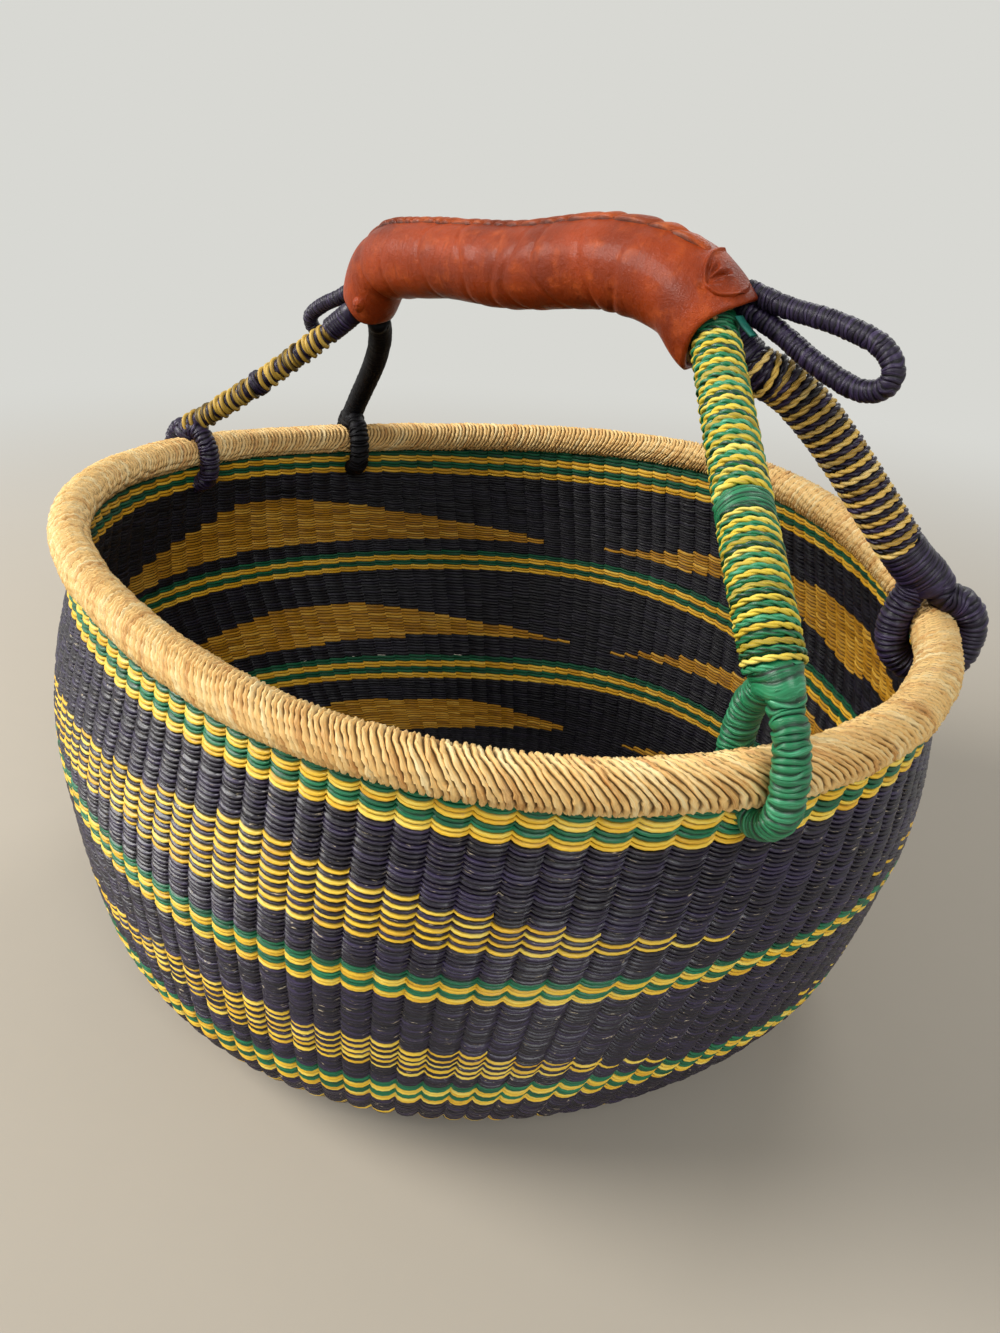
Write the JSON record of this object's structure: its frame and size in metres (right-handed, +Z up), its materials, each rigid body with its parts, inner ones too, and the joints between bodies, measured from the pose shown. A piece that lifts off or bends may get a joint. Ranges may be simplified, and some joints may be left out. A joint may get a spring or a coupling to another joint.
{
  "type": "bolga basket",
  "caption": "Round twined straw market basket with a wrapped rim, and a high arched handle with a leather grip, looped round the rim by forked legs.",
  "frame": {"origin": "middle of the base's underside, on the floor", "axes": "+Z up, +X along the grip towards the thicker pair of legs, -Y towards the front"},
  "size_m": [0.4294, 0.384, 0.3453],
  "materials": {
    "navy_straw": "dyed grass straw, dark navy with a soft sheen and pale flecks",
    "green_straw": "dyed grass straw, green courses beside yellow ones",
    "gold_straw": "dyed grass straw, golden yellow",
    "black_straw": "dyed grass straw, near black",
    "natural_straw": "undyed grass straw, satin",
    "bundled_straw": "undyed grass stalks, matt",
    "leather": "stained red-brown hide, smooth with a soft gloss",
    "thread": "thin dark leather lace",
    "teal_strip": "dyed green strip of grass, matt"
  },
  "bodies": {
    "basket": {"weft_stripe_1_outer": "green_straw", "weft_stripe_1_inner": "green_straw", "weft_stripe_2_outer": "green_straw", "weft_stripe_2_inner": "green_straw", "weft_stripe_3_outer": "green_straw", "weft_stripe_3_inner": "green_straw", "weft_field_1_outer": "navy_straw", "weft_field_1_inner": "navy_straw", "weft_field_2_outer": "navy_straw", "weft_field_2_inner": "navy_straw", "weft_field_3_outer": "navy_straw", "weft_field_3_inner": "navy_straw", "base_weft_under": "navy_straw", "base_weft_upper": "navy_straw", "warp_stakes": "bundled_straw", "rim_core": "bundled_straw", "rim_wrap": "natural_straw"},
    "handle": {"leather_grip": "leather", "grip_bundle": "bundled_straw", "leg_core_front_right": "bundled_straw", "leg_wrap_front_right": "green_straw", "rim_ring_front_right": "green_straw", "leg_core_back_right": "bundled_straw", "leg_wrap_back_right": "navy_straw", "rim_ring_back_right": "navy_straw", "leg_core_front_left": "bundled_straw", "leg_wrap_front_left": "navy_straw", "rim_ring_front_left": "navy_straw", "leg_core_back_left": "bundled_straw", "leg_wrap_back_left": "black_straw", "rim_ring_back_left": "black_straw", "winding_yellow_close": "gold_straw", "winding_yellow_open": "gold_straw", "winding_gold_back": "gold_straw", "winding_gold_front": "gold_straw", "end_loop_right": "navy_straw", "end_loop_left": "navy_straw", "grip_lacing": "thread", "grip_tuck": "leather", "grip_knot": "leather", "tie_strip": "teal_strip"}
  },
  "joints": [
    {"name": "handle_rock", "type": "hinge", "parent": "basket", "child": "handle", "pos_m": [-0.00804, 0.00898, 0.209], "axis": [0.9555, 0.2951, 0], "range_deg": [0, 2]}
  ]
}
